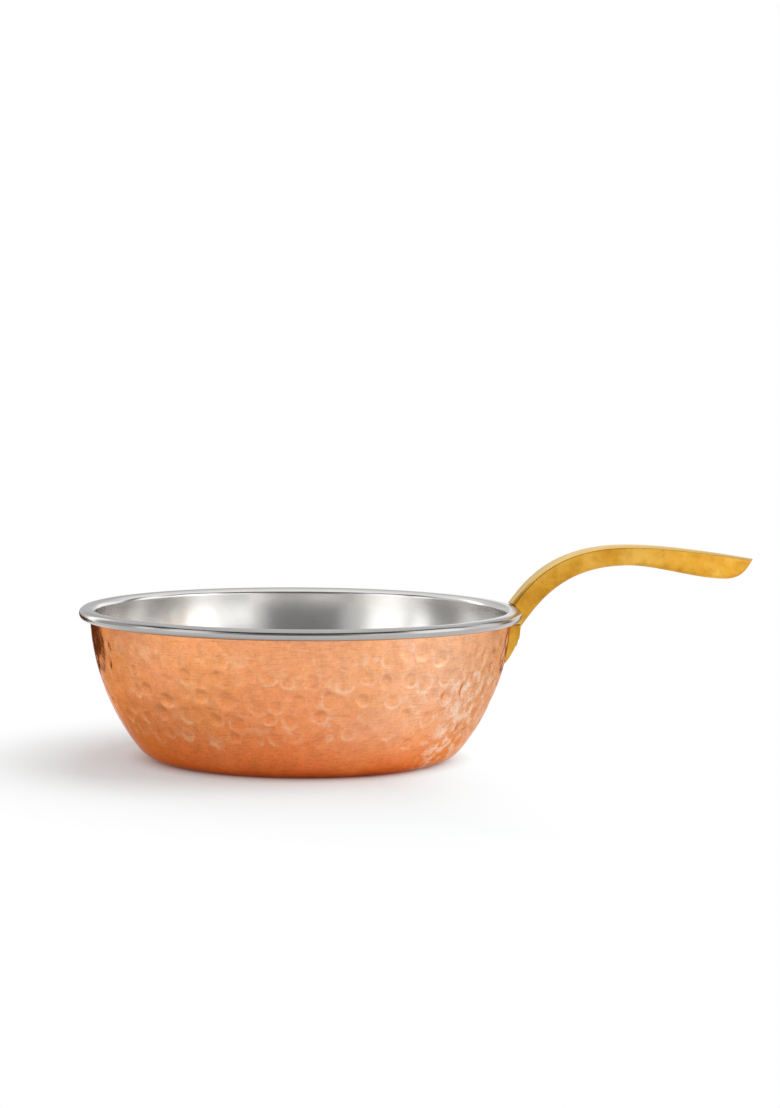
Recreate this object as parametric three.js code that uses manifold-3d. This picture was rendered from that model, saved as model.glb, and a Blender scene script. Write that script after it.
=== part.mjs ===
// A small serving pan: a copper shell over a smooth steel bowl, with a cast brass handle on two rivets.
// Millimetres, +Z up. The origin is the centre of the base's underside, and the handle points along +X.

import * as THREE from 'three';
import { mergeVertices } from 'three/addons/utils/BufferGeometryUtils.js';
import Module from 'manifold-3d';

const wasm = await Module();
wasm.setup();

// Pan
const RIM_DIAMETER = 165; // over the rolled rim
const PAN_HEIGHT = 56.4; // underside of the base to the top of the rim
const BASE_DIAMETER = 101; // flat part of the underside
const CORNER_RADIUS = 13; // outside, between base and wall
const COPPER_SHEET = 0.8;
const STEEL_SHEET = 0.6;

// Rolled rim
const BEAD_DIAMETER = 4; // thickness of the roll
const CURL_TURN = 230; // degrees that the sheet turns on from the top of the roll
const LIP_BEND = 1.6; // inside radius where the bowl's wall bends over into the roll
const FLANGE_WIDTH = 2; // turned-out top edge of the copper, held in the roll
const FLANGE_BEND = 0.5; // inside radius of that turn

// Handle from the side: reaches start at the edge of the rim, and rises at its top
const TIP_REACH = 93.8;
const TIP_RISE = 16.3;
const TIP_SLOPE = 10; // degrees that the upper edge falls at the tip
const CREST_REACH = 43.6; // highest place of the upper edge
const CREST_RISE = 22.1;
const CREST_THICKNESS = 7.7;
const ARCH_REACH = 44; // highest place of the underside
const BEAK_LENGTH = 10.8; // fullest place of the underside to the tip
const BEAK_DEPTH = 7.5; // how far the underside hangs below the tip there
const BEAK_ANGLE = 123; // degrees that the underside turns down from the tip
const NECK_START = 82; // degrees round the rim where the neck's upper edge starts
const NECK_SLOPE = 54; // degrees at which both edges of the neck rise
const NECK_FOOT = 7.6; // how far below the rim the neck grows out of the plate

// Width of the handle's bar, and its plate from the end
const BAR_WIDTH = 7; // between the bar's flat sides
const PLATE_WIDTH = 26;
const PLATE_THICKNESS = 4.2;
const PLATE_DROP = 23.4; // top of the rim to the plate's lower end
const PLATE_TAPER = 12; // height over which the plate thins towards that end
const PLATE_EDGE = 1.2; // thickness there
const PLATE_ROUND = 9; // height of the plate's rounded end
const SHOULDER_HEIGHT = 3; // height of the plate's rounded upper corners

// Shape of the handle's curves: how far each end holds its direction, as a share of the curve's span
const NECK_HOLD = 0.27;
const EVEN_HOLD = 0.3;
const CREST_HOLD = 0.52;

// Rivets
const RIVET_DIAMETER = 4;
const RIVET_EDGE = 6.5; // a rivet's axis to the side of the plate
const RIVET_DROP = 11.8; // below the top of the rim
const SINK_DIAMETER = 6; // outer end, spread into a countersink and flush with the plate
const SINK_DEPTH = 1.5;
const HEAD_DIAMETER = 7.4; // low dome inside the bowl
const HEAD_HEIGHT = 1.1;

// Clearances
const FIT_GAP = 0.3; // between sheets, under the handle's plate and under the rivets' heads
const HOLE_GAP = 0.3; // round a rivet's shank and sunk end

// Fineness of the curves
const PAN_SIDES = 56;
const CORNER_STEPS = 4;
const WALL_STEPS = 7;
const BEND_STEPS = 3;
const CURL_STEPS = 9;
const CURVE_STEPS = 8;
const RIVET_SIDES = 16;
const HEAD_STEPS = 4;

const QUARTER = Math.PI / 2;
const rimRadius = RIM_DIAMETER / 2;
const beadRadius = BEAD_DIAMETER / 2;
const beadCentre = new THREE.Vector2(rimRadius - beadRadius, PAN_HEIGHT - beadRadius);
const curlEnd = THREE.MathUtils.degToRad(90 - CURL_TURN);

// The wall is one arc. It starts tangent to the corner's arc and stands upright at the height of the rim.
const baseRadius = BASE_DIAMETER / 2;
const wallTopRadius = rimRadius - BEAD_DIAMETER;
const wallRun = wallTopRadius - baseRadius;
const wallRise = PAN_HEIGHT - CORNER_RADIUS;
const wallArc = (wallRun ** 2 + wallRise ** 2 - CORNER_RADIUS ** 2) / (2 * (wallRun - CORNER_RADIUS));
const wallCentre = new THREE.Vector2(wallTopRadius - wallArc, PAN_HEIGHT);
const cornerCentre = new THREE.Vector2(baseRadius, CORNER_RADIUS);
const tangentAngle = Math.atan2(cornerCentre.y - wallCentre.y, cornerCentre.x - wallCentre.x);

function polar(centre, radius, angle) {
  return new THREE.Vector2(Math.cos(angle), Math.sin(angle)).multiplyScalar(radius).add(centre);
}

function arc(centre, radius, from, to, steps) {
  const points = [];
  for (let i = 0; i <= steps; i += 1) {
    points.push(polar(centre, radius, from + ((to - from) * i) / steps));
  }
  return points;
}

// Angle on the wall's arc, moved inward by a depth, at a height.
function wallAngle(depth, height) {
  return Math.asin((height - wallCentre.y) / (wallArc - depth));
}

function wallPoint(depth, height) {
  return polar(wallCentre, wallArc - depth, wallAngle(depth, height));
}

// The wall between two heights, moved inward by a depth.
function wallStretch(depth, from, to) {
  return arc(wallCentre, wallArc - depth, wallAngle(depth, from), wallAngle(depth, to), WALL_STEPS);
}

// The pan's outside, moved inward by a depth, from the axis up to a height.
function panOutline(depth, top) {
  const corner = arc(cornerCentre, CORNER_RADIUS - depth, -QUARTER, tangentAngle, CORNER_STEPS);
  const wall = arc(wallCentre, wallArc - depth, tangentAngle, wallAngle(depth, top), WALL_STEPS);
  return [new THREE.Vector2(0, depth), ...corner, ...wall.slice(1)];
}

function turned(points) {
  return new THREE.LatheGeometry(points, PAN_SIDES).rotateX(QUARTER);
}

// A closed mesh becomes a solid once its shared corners are merged and its empty triangles are gone.
function toSolid(geometry) {
  const bare = geometry.clone();
  bare.deleteAttribute('normal');
  bare.deleteAttribute('uv');
  const merged = mergeVertices(bare);
  const corners = merged.index.array;
  const triVerts = [];
  for (let i = 0; i < corners.length; i += 3) {
    const [a, b, c] = corners.slice(i, i + 3);
    if (a !== b && b !== c && c !== a) {
      triVerts.push(a, b, c);
    }
  }
  const vertProperties = new Float32Array(merged.attributes.position.array);
  const mesh = new wasm.Mesh({ numProp: 3, vertProperties, triVerts: new Uint32Array(triVerts) });
  return new wasm.Manifold(mesh);
}

function toGeometry(solid) {
  const { vertProperties, triVerts } = solid.getMesh();
  const geometry = new THREE.BufferGeometry();
  geometry.setAttribute('position', new THREE.BufferAttribute(vertProperties, 3));
  geometry.setIndex(new THREE.BufferAttribute(triVerts, 1));
  geometry.computeVertexNormals();
  return geometry;
}

// Copper shell: the outside of the pan, with a flange at the top that lies over the end of the roll.
const flangeBottom = beadCentre.y + (beadRadius - STEEL_SHEET) * Math.sin(curlEnd) + FIT_GAP;

function copperOutline() {
  const top = flangeBottom - FLANGE_BEND;
  const bend = new THREE.Vector2(wallPoint(0, top).x + FLANGE_BEND, top);
  const edge = wallTopRadius + FLANGE_WIDTH;
  return [
    ...panOutline(0, top),
    ...arc(bend, FLANGE_BEND, Math.PI, QUARTER, BEND_STEPS).slice(1),
    new THREE.Vector2(edge, flangeBottom),
    new THREE.Vector2(edge, flangeBottom + COPPER_SHEET),
    ...arc(bend, FLANGE_BEND + COPPER_SHEET, QUARTER, Math.PI, BEND_STEPS).slice(0, -1),
    ...panOutline(COPPER_SHEET, top).reverse(),
  ];
}

// Steel bowl: lies inside the copper, and its edge bends over the copper's flange and rolls under it.
const bowlOutside = COPPER_SHEET + FIT_GAP;
const bowlInside = bowlOutside + STEEL_SHEET;

function bowlOutline() {
  const top = PAN_HEIGHT - STEEL_SHEET - LIP_BEND;
  const bend = new THREE.Vector2(wallPoint(bowlOutside, top).x + LIP_BEND, top);
  return [
    ...panOutline(bowlOutside, top),
    ...arc(bend, LIP_BEND, Math.PI, QUARTER, BEND_STEPS).slice(1),
    ...arc(beadCentre, beadRadius - STEEL_SHEET, QUARTER, curlEnd, CURL_STEPS),
    ...arc(beadCentre, beadRadius, curlEnd, QUARTER, CURL_STEPS),
    ...arc(bend, LIP_BEND + STEEL_SHEET, QUARTER, Math.PI, BEND_STEPS).slice(0, -1),
    ...panOutline(bowlInside, top).reverse(),
  ];
}

// Rivets stand square to the wall. Along a rivet, zero is the copper's outside.
const plateFace = FIT_GAP + PLATE_THICKNESS;
const headSeat = -(bowlInside + FIT_GAP);

function rivetPlace(sideways) {
  const onWall = wallPoint(0, PAN_HEIGHT - RIVET_DROP);
  const azimuth = Math.asin(sideways / onWall.x);
  const place = new THREE.Object3D();
  place.position.set(onWall.x * Math.cos(azimuth), onWall.x * Math.sin(azimuth), onWall.y);
  place.rotation.set(0, -wallAngle(0, onWall.y), azimuth, 'ZYX');
  place.updateMatrix();
  return place;
}

const rivetPlaces = {
  rivet_left: rivetPlace(PLATE_WIDTH / 2 - RIVET_EDGE),
  rivet_right: rivetPlace(RIVET_EDGE - PLATE_WIDTH / 2),
};

// The head's low dome, from its crown to its edge on the seat.
function headOutline() {
  const sphere = (HEAD_DIAMETER ** 2 / 4 + HEAD_HEIGHT ** 2) / (2 * HEAD_HEIGHT);
  const points = [];
  for (let i = 0; i <= HEAD_STEPS; i += 1) {
    const radius = ((HEAD_DIAMETER / 2) * i) / HEAD_STEPS;
    const above = Math.sqrt(sphere ** 2 - radius ** 2) - (sphere - HEAD_HEIGHT);
    points.push(new THREE.Vector2(radius, headSeat - above));
  }
  return points;
}

// Shank and sunk end, grown sideways by a clearance.
function shankOutline(gap) {
  return [
    new THREE.Vector2(RIVET_DIAMETER / 2 + gap, headSeat),
    new THREE.Vector2(RIVET_DIAMETER / 2 + gap, plateFace - SINK_DEPTH),
    new THREE.Vector2(SINK_DIAMETER / 2 + gap, plateFace),
  ];
}

// Turned about a rivet's axis, which lies along X.
function turnedRivet(points) {
  return new THREE.LatheGeometry(points, RIVET_SIDES).rotateZ(-QUARTER);
}

function rivetGeometry() {
  return turnedRivet([...headOutline(), ...shankOutline(0), new THREE.Vector2(0, plateFace)]);
}

// Takes the rivet holes out of a solid. The tool runs on past the plate's face and the bowl's inside.
function drilled(solid) {
  const outline = shankOutline(HOLE_GAP);
  const beyond = outline[2].clone().add(new THREE.Vector2(0, SINK_DEPTH));
  const ends = [new THREE.Vector2(0, headSeat), new THREE.Vector2(0, beyond.y)];
  const tool = turnedRivet([ends[0], ...outline, beyond, ends[1]]);
  let rest = solid;
  for (const place of Object.values(rivetPlaces)) {
    rest = rest.subtract(toSolid(tool.clone().applyMatrix4(place.matrix)));
  }
  return rest;
}

// Handle
const tip = new THREE.Vector2(rimRadius + TIP_REACH, PAN_HEIGHT + TIP_RISE);
const crest = new THREE.Vector2(rimRadius + CREST_REACH, PAN_HEIGHT + CREST_RISE);
const arch = new THREE.Vector2(rimRadius + ARCH_REACH, crest.y - CREST_THICKNESS);
const belly = new THREE.Vector2(tip.x - BEAK_LENGTH, tip.y - BEAK_DEPTH);
const plateTop = beadCentre.y - beadRadius - FIT_GAP;
const plateBottom = PAN_HEIGHT - PLATE_DROP;

// Draws a curve to a point. It leaves its start and its end in the given directions, in degrees.
function curveTo(path, leave, leaveHold, end, arrive, arriveHold) {
  const span = path.currentPoint.distanceTo(end);
  const first = polar(path.currentPoint, leaveHold * span, THREE.MathUtils.degToRad(leave));
  const last = polar(end, arriveHold * span, THREE.MathUtils.degToRad(arrive));
  path.bezierCurveTo(first.x, first.y, last.x, last.y, end.x, end.y);
}

// From the side: up the neck, over the crest to the tip, and back along the underside to the plate.
function sideOutline() {
  const start = polar(beadCentre, beadRadius + FIT_GAP, THREE.MathUtils.degToRad(NECK_START));
  const foot = wallPoint(-plateFace, plateTop - NECK_FOOT);
  const shape = new THREE.Shape();
  shape.moveTo(start.x, start.y);
  curveTo(shape, NECK_SLOPE, NECK_HOLD, crest, 180, CREST_HOLD);
  curveTo(shape, 0, EVEN_HOLD, tip, 180 - TIP_SLOPE, EVEN_HOLD);
  curveTo(shape, -BEAK_ANGLE, NECK_HOLD, belly, 0, CREST_HOLD);
  curveTo(shape, 180, EVEN_HOLD, arch, 0, EVEN_HOLD);
  curveTo(shape, 180, CREST_HOLD, foot, NECK_SLOPE, NECK_HOLD);
  shape.lineTo(beadCentre.x, foot.y);
  shape.lineTo(beadCentre.x, beadCentre.y);
  shape.closePath();
  return shape;
}

// The plate from outside, with Y to the right: a rounded lower end, and rounded corners beside the neck.
function plateOutline() {
  const half = PLATE_WIDTH / 2;
  const shoulder = plateTop - SHOULDER_HEIGHT;
  const round = plateBottom + PLATE_ROUND;
  const shape = new THREE.Shape();
  shape.moveTo(half, shoulder);
  curveTo(shape, 90, EVEN_HOLD, new THREE.Vector2(BAR_WIDTH / 2, plateTop), 0, EVEN_HOLD);
  shape.lineTo(-BAR_WIDTH / 2, plateTop);
  curveTo(shape, 180, EVEN_HOLD, new THREE.Vector2(-half, shoulder), 90, EVEN_HOLD);
  shape.lineTo(-half, round);
  shape.absellipse(0, round, half, PLATE_ROUND, Math.PI, 2 * Math.PI);
  shape.closePath();
  return shape;
}

function extruded(shape, depth) {
  return new THREE.ExtrudeGeometry(shape, { depth, curveSegments: CURVE_STEPS, bevelEnabled: false });
}

// The bar has the side outline and two flat sides.
function handleBar() {
  return toSolid(extruded(sideOutline(), BAR_WIDTH).rotateX(QUARTER).translate(0, BAR_WIDTH / 2, 0));
}

// The plate is a piece of a ring round the pan, thinner towards its lower end, cut to the plate's outline.
function handlePlate() {
  const edge = wallPoint(-(FIT_GAP + PLATE_EDGE), plateBottom);
  const outside = [edge, ...wallStretch(-plateFace, plateBottom + PLATE_TAPER, plateTop)];
  const inside = wallStretch(-FIT_GAP, plateTop, plateBottom);
  const ring = turned([...outside, ...inside, edge]);
  const cutter = extruded(plateOutline(), rimRadius + PLATE_WIDTH).rotateX(QUARTER).rotateZ(QUARTER);
  return toSolid(ring).intersect(toSolid(cutter));
}

// Room for the pan: its wall and its rolled rim, each with the clearance round it.
function panRoom() {
  const wall = turned([...panOutline(-FIT_GAP, PAN_HEIGHT), new THREE.Vector2(0, PAN_HEIGHT)]);
  const bead = new THREE.TorusGeometry(beadCentre.x, beadRadius + FIT_GAP, 2 * CURL_STEPS, PAN_SIDES);
  return toSolid(wall).add(toSolid(bead.translate(0, 0, beadCentre.y)));
}

const copper = new THREE.MeshStandardMaterial({ color: 0xd88a55, roughness: 0.28, metalness: 1 });
const steel = new THREE.MeshStandardMaterial({ color: 0xc9c7c4, roughness: 0.18, metalness: 1 });
const brass = new THREE.MeshStandardMaterial({ color: 0xd9a548, roughness: 0.3, metalness: 1 });
const rivetSteel = new THREE.MeshStandardMaterial({ color: 0xbdbbb8, roughness: 0.3, metalness: 1 });

const pan = new THREE.Group();

function addPiece(name, geometry, material) {
  const mesh = new THREE.Mesh(geometry, material);
  mesh.name = name;
  pan.add(mesh);
  return mesh;
}

const handle = handleBar().add(handlePlate()).subtract(panRoom());
addPiece('steel_bowl', toGeometry(drilled(toSolid(turned(bowlOutline())))), steel);
addPiece('copper_shell', toGeometry(drilled(toSolid(turned(copperOutline())))), copper);
addPiece('brass_handle', toGeometry(drilled(handle)), brass);
for (const [name, place] of Object.entries(rivetPlaces)) {
  const rivet = addPiece(name, rivetGeometry(), rivetSteel.clone());
  rivet.position.copy(place.position);
  rivet.rotation.copy(place.rotation);
}

export default pan;
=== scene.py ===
# Looks of a small serving pan: a hammered copper shell, a polished steel bowl with a rolled rim, a cast
# brass handle and two rivets. Metres and +Z up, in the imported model's frame: the origin is the centre of
# the base's underside, and the handle points along +X.

import math
import random

import bmesh
import bpy
import numpy as np
from mathutils import Matrix, Vector


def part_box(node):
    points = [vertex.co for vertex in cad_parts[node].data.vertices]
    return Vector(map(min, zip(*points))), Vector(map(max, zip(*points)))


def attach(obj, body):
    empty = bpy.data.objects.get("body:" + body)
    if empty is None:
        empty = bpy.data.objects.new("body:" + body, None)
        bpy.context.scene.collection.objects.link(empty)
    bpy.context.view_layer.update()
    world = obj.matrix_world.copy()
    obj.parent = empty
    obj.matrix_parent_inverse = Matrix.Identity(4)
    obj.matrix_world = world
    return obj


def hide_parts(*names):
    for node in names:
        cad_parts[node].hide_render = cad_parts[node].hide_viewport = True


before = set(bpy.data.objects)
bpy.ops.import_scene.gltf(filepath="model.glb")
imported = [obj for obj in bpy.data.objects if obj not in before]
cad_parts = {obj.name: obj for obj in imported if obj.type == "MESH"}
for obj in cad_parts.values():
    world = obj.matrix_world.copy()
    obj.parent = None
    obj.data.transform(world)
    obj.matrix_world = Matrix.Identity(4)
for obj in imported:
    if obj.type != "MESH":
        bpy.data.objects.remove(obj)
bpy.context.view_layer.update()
handle_low, handle_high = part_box("brass_handle")

# Pan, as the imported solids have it
RIM_RADIUS = 0.0825
PAN_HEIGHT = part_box("steel_bowl")[1].z
BASE_RADIUS = 0.0505
CORNER_RADIUS = 0.013
COPPER_SHEET = 0.0008
STEEL_SHEET = 0.0006
FIT_GAP = 0.0003

# Rolled rim, and the copper's flange in it
BEAD_RADIUS = 0.002
CURL_END = math.radians(-140)
LIP_BEND = 0.0016
FLANGE_WIDTH = 0.002
FLANGE_BEND = 0.0005

# Handle from the side: reach and height of four points, angles in degrees, the foot of the neck on the
# plate, and how far each end of a curve holds its direction, as a share of the curve's span
TIP = Vector((handle_high.x + 0.001, PAN_HEIGHT + 0.0163))
CREST = Vector((RIM_RADIUS + 0.0436, handle_high.z))
ARCH = Vector((RIM_RADIUS + 0.044, handle_high.z - 0.0077))
BELLY = TIP - Vector((0.0108, 0.0075))
TIP_SLOPE = 10
BEAK_ANGLE = 123
NECK_START = 82
NECK_SLOPE = 54
NECK_FOOT = 0.0076
NECK_HOLD = 0.27
EVEN_HOLD = 0.3
CREST_HOLD = 0.52

# Width of the handle's bar, its bevelled edges, its plate from the end, and the softness of the casting
BAR_HALF = 0.0035
BAR_BEVEL = 0.001
PLATE_HALF = handle_high.y
PLATE_BOTTOM = handle_low.z
PLATE_THICKNESS = 0.0042
PLATE_TAPER = 0.012
PLATE_EDGE = 0.0012
PLATE_ROUND = 0.009
SHOULDER_HEIGHT = 0.003
CAST_VOXEL = 0.0002
CAST_SMOOTHING = 3
CAST_SMOOTHNESS = 0.5

# Rivets
RIVET_RADIUS = 0.002
RIVET_SIDEWAYS = 0.0065
RIVET_HEIGHT = PAN_HEIGHT - 0.0118
SINK_RADIUS = 0.003
SINK_DEPTH = 0.0015
HEAD_RADIUS = 0.0037
HEAD_HEIGHT = 0.0011
HOLE_GAP = 0.0001

# Hammer marks: rows of round dents that start below the rim, measured down the wall. The bias makes them
# deeper on the handle's side, waves make a dent oval and three-sided, and the lean turns these two forms
# from dent to dent.
FIRST_ROW = 0.0109
ROW_STEP = 0.0080
ROW_SPREAD = 0.0015
ROW_FADE = (0.55, 0.95, 1.0, 1.0, 0.65)
DENT_STEP = 0.0084
DENT_SCATTER = 0.32
DENT_RADIUS = (0.0025, 0.0039)
DENT_STRETCH = (0.85, 1.15)
DENT_DEPTH = (0.00016, 0.00042)
DENT_BIAS = 0.25
DENT_CURVE = 1.15
DENT_WAVES = (0.10, 0.07)
DENT_LEAN = (50, 90)
DENT_SEED = 11

# Small shallow dents between them, which start above the first row
SMALL_DENTS = 1500
SMALL_START = FIRST_ROW - 0.002
SMALL_RADIUS = (0.0012, 0.0026)
SMALL_STRETCH = (0.7, 1.6)
SMALL_DEPTH = (0.00001, 0.00005)

# Fineness of the meshes: sides of turned pieces, steps along their outlines, steps between two points of a
# flat floor, and points of a curve. Then the angles in degrees from which an edge stays sharp.
SHELL_SIDES = 840
BOWL_SIDES = 288
RIVET_SIDES = 48
WALL_STEP = 0.0006
BOWL_STEP = 0.0015
BEND_STEP = 0.0002
FLOOR_STEPS = 4
CURVE_STEPS = 28
SHELL_SHARP = 50
BOWL_SHARP = 40
HANDLE_SHARP = 50
RIVET_SHARP = 30

# Limits: points this near to the axis lie on it, points this near to each other are one, and a point of an
# inset outline is kept if it has this share of the inset as room
AXIS_REACH = 1e-9
SAME_PLACE = 1e-6
INSET_ROOM = 0.97

# Copper: its colours from the base to the rim, those of its marks, and how far its reflections spread, with
# the share of a turn that makes them spread across the fine marks round the pan
COPPER_TONES = (
    (0.00, (0.86, 0.225, 0.058)),
    (0.12, (0.96, 0.265, 0.074)),
    (0.35, (0.98, 0.325, 0.117)),
    (0.65, (0.93, 0.355, 0.148)),
    (1.00, (0.95, 0.410, 0.195)),
)
COPPER_GRAZED = (0.90, 0.60, 0.42, 1)
GOLDEN_TONE = (0.98, 0.40, 0.105, 1)
# Pale painted sheen, standing in for light on the handle's side
PAINTED_SHEEN_TONE = (1.0, 0.62, 0.40, 1)
# Painted glints on ridges that face up, and paler ones where the painted sheen is
PAINTED_GLINT_TONE = (1.0, 0.52, 0.28, 1)
PAINTED_SHEEN_GLINT_TONE = (1.0, 0.84, 0.72, 1)
# Pale painted highlights, in flecks
HIGHLIGHT_FLECK_TONE = (1.0, 0.80, 0.66, 1)
SPECK_TONE = (0.42, 0.15, 0.06, 1)
COPPER_SPIN = 0.75
ACROSS_MARKS = 0.25

# Copper: painted shade from left to right, where painted sheen, highlights and dents lie, and how much
SIDE_SHADE_LEVELS = ((0.05, 0.78), (0.13, 0.92), (0.42, 1.0), (0.66, 1.0), (0.80, 0.88), (0.96, 0.76))
# Painted sheen: where it lies along the pan and by height, and its most
PAINTED_SHEEN_ALONG = (-0.03, 0.035)
PAINTED_SHEEN_HEIGHTS = (0.004, 0.02)
PAINTED_SHEEN_MOST = 0.54
# Painted highlight flecks: the side they lie on, how near to it, their heights, and their most
HIGHLIGHT_FLECK_SIDE = (0.86, -0.51, 0)
HIGHLIGHT_FLECK_NEARNESS = (0.86, 0.95)
HIGHLIGHT_FLECK_HEIGHTS = (0.044, 0.034)
HIGHLIGHT_FLECK_MOST = 0.72
DENT_HEIGHTS = (0.006, 0.010)
DENT_SHADING = 0.65
# How strongly the surface's tilt shows in the painted glints and painted shade
TILT_CONTRAST = 2.5
CLOUD_HEIGHT = 0.35
FINE_BUMP = (0.12, 0.0001)

# Steel: colour and roughness of the bowl and of the rivets, painted shade on the rim, the level of darker
# clouds, and shares of the roughness between turning marks and on them
BOWL_COLOUR = (0.87, 0.855, 0.835)
BOWL_ROUGHNESS = 0.19
RIVET_COLOUR = (0.52, 0.51, 0.50)
RIVET_ROUGHNESS = 0.30
RIM_SHADE_LEVEL = 0.55
RIM_FADE = 0.0015
STEEL_CLOUDS = 0.9
STEEL_MARKS = (0.9, 1.1)

# Brass: its colours in soft clouds, a painted highlight on the faces that look up, its brighter end by
# reach, and the strength and depth of its cast surface
BRASS_TONES = (
    (0.30, (0.51, 0.22, 0.019)),
    (0.50, (0.66, 0.33, 0.036)),
    (0.72, (0.78, 0.45, 0.083)),
)
BRASS_TOP_HIGHLIGHT = (0.93, 0.66, 0.26, 1)
BRASS_REACHES = ((0.75, 1.0), (0.90, 1.14))
CAST_BUMP = (0.18, 0.0002)

# Places of the colour sockets on a mixing node
MIX_FACTOR = 0
MIX_FIRST = 6
MIX_SECOND = 7
MIX_RESULT = 2

# Picture: where the camera stands, and where it aims from a point on the pan's axis
PICTURE = (780, 1108)
CAMERA_POINT = Vector((0, 0, 0.03))
CAMERA_DISTANCE = 1.2
CAMERA_AZIMUTH = math.radians(-12)
CAMERA_ELEVATION = math.radians(6.89)
CAMERA_ROLL = math.radians(0.5)
POINT_PIXEL = (301.3, 678.0)
PIXELS_PER_METRE = 2670.6
SENSOR = 36.0

# White studio. The lamp lights the floor and throws the pan's shadow.
WHITE = (1, 1, 1, 1)
AMBIENT = 0.74
LAMP_AZIMUTH = 75
LAMP_ELEVATION = 46
LAMP_DISTANCE = 3.0
LAMP_SIZE = 2.4
LAMP_RADIANCE = 2.2
FLOOR_RADIUS = 12
FLOOR_SIDES = 96
FLOOR_COLOUR = (0.95, 0.965, 0.97, 1)

# Share of plain white in the floor, which lightens the pan's shadow: least round a place beside the pan,
# all at a distance from it and on the handle's side, and none in the narrow ring where the pan stands
FLOOR_GLOW = 0.27
SHADOW_PLACE = (0.03, -0.03, 0)
SHADOW_REACH = (0.115, 0.18)
BRIGHT_SIDE = (-0.01, 0.065)
CONTACT_WIDTH = 0.014

# Studio tent, as reflections show it: level, then middle, half size and soft edge in degrees of azimuth
# and elevation. Azimuth 0 is in front of the pan, at -Y, and 90 beyond its handle.
TENT_RADIUS = 0.5
TENT_SIDES = 96
TENT_GREY = 0.95
TENT_PANELS = (
    (0.60, (0, 14), (180, 8), (1, 22)),
    (0.65, (190, 4), (30, 8), (14, 15)),
    (1.1, (143, 6), (14, 12), (8, 12)),
    (0.10, (-150, -8), (28, 8), (10, 6)),
    (2.2, (-141, 8), (4, 22), (4, 10)),
    (1.5, (-92, 11), (4, 21), (5, 10)),
    (1.25, (95, 8), (25, 22), (12, 10)),
    (0.1, (112, 8), (5, 25), (5, 10)),
    (0.04, (-12, 39), (85, 8), (25, 7)),
    (0.20, (-14, 16), (19, 8), (10, 7)),
    (0.95, (-12, -2), (70, 6), (30, 6)),
    (1.8, (58, 11), (12, 21), (7, 10)),
    (1.2, (30, 12), (10, 7), (4, 5)),
    (1.4, (-68, 13), (9, 19), (8, 10)),
)

# Dark cards behind the pan on both sides: azimuths in degrees and colour
FLAGS = (
    ((-160, -130), (0.12, 0.045, 0.02, 1)),
    ((122, 146), (0.30, 0.13, 0.06, 1)),
)
FLAG_RADIUS = 0.2
FLAG_HEIGHTS = (0.002, 0.05)
FLAG_STEPS = 12

# The wall is one arc, tangent to the corner's arc and upright at the height of the rim.
bead_centre = Vector((RIM_RADIUS - BEAD_RADIUS, PAN_HEIGHT - BEAD_RADIUS))
wall_top_radius = RIM_RADIUS - 2 * BEAD_RADIUS
wall_run = wall_top_radius - BASE_RADIUS
wall_rise = PAN_HEIGHT - CORNER_RADIUS
wall_arc = (wall_run**2 + wall_rise**2 - CORNER_RADIUS**2) / (2 * (wall_run - CORNER_RADIUS))
wall_centre = Vector((wall_top_radius - wall_arc, PAN_HEIGHT))
corner_centre = Vector((BASE_RADIUS, CORNER_RADIUS))
tangent_angle = math.atan2(corner_centre.y - wall_centre.y, corner_centre.x - wall_centre.x)
bowl_outside = COPPER_SHEET + FIT_GAP
bowl_inside = bowl_outside + STEEL_SHEET
plate_face = FIT_GAP + PLATE_THICKNESS
plate_top = bead_centre.y - BEAD_RADIUS - FIT_GAP


def polar(centre, radius, angle):
    return centre + radius * Vector((math.cos(angle), math.sin(angle)))


def arc(centre, radius, start, end, step):
    count = max(2, math.ceil(abs(end - start) * radius / step))
    return [polar(centre, radius, start + (end - start) * i / count) for i in range(count + 1)]


def wall_angle(depth, height):
    return math.asin((height - wall_centre.y) / (wall_arc - depth))


def wall_point(depth, height):
    return polar(wall_centre, wall_arc - depth, wall_angle(depth, height))


def floor_points(height, step):
    count = math.ceil(BASE_RADIUS / (FLOOR_STEPS * step))
    return [Vector((BASE_RADIUS * i / count, height)) for i in range(count)]


def pan_outline(depth, top, step):
    """The pan's outside, moved inward by a depth, from the axis up to a height."""
    corner = arc(corner_centre, CORNER_RADIUS - depth, -math.pi / 2, tangent_angle, step)
    wall = arc(wall_centre, wall_arc - depth, tangent_angle, wall_angle(depth, top), step)
    return floor_points(depth, step) + corner + wall[1:]


def make_object(name, vertices, faces):
    mesh = bpy.data.meshes.new(name)
    mesh.from_pydata(vertices, [], faces)
    built = bmesh.new()
    built.from_mesh(mesh)
    bmesh.ops.recalc_face_normals(built, faces=built.faces)
    built.to_mesh(mesh)
    built.free()
    thing = bpy.data.objects.new(name, mesh)
    bpy.context.scene.collection.objects.link(thing)
    return thing


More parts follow.
